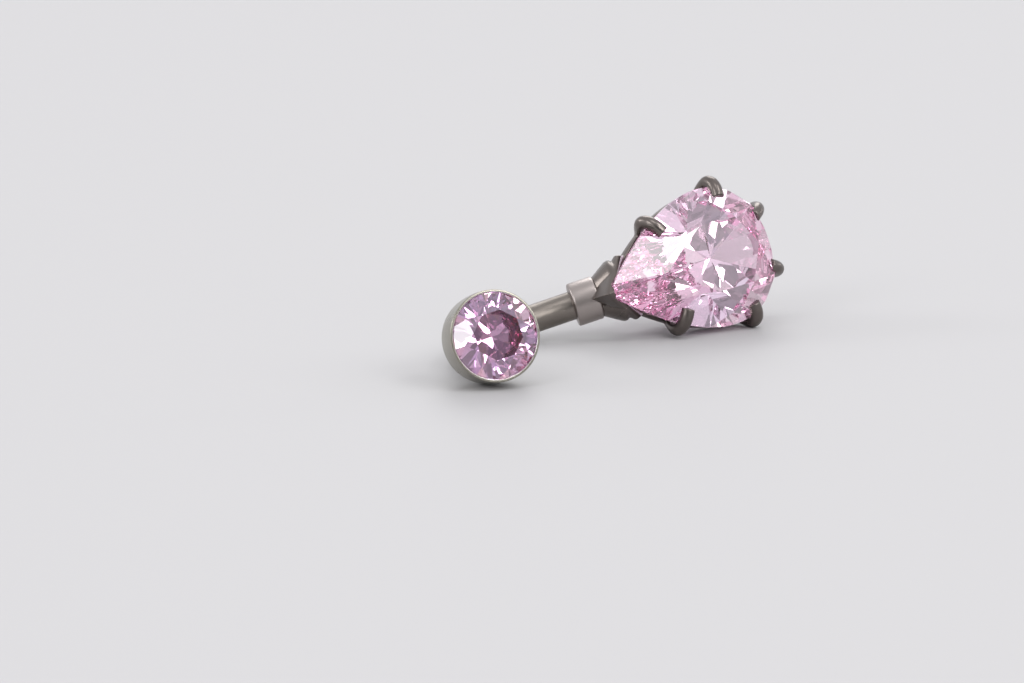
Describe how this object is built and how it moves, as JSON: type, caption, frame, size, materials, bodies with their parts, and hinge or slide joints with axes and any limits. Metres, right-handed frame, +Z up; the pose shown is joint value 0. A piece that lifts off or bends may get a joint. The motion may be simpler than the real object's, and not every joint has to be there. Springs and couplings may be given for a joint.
{
  "type": "belly button ring",
  "caption": "Curved navel barbell with a bezel-set round stone that screws onto one end and a claw-set pear stone fixed to the other, lying on its side.",
  "frame": {"origin": "centre of the object's box, on the surface that it lies on", "axes": "+X along the bar's chord from the screwed round stone to the pear, +Z up from the surface"},
  "size_m": [0.0266, 0.0112, 0.0086],
  "materials": {
    "bar_metal": "polished grey titanium, slightly warm",
    "bezel_metal": "mirror-polished grey titanium with a burnished rim",
    "round_stone": "cut and polished pink cubic zirconia",
    "pear_stone": "cut and polished pink cubic zirconia"
  },
  "bodies": {
    "root": {"curved_bar": "bar_metal", "top_bezel": "bezel_metal", "top_stone": "round_stone", "drop_stone": "pear_stone"}
  },
  "joints": []
}
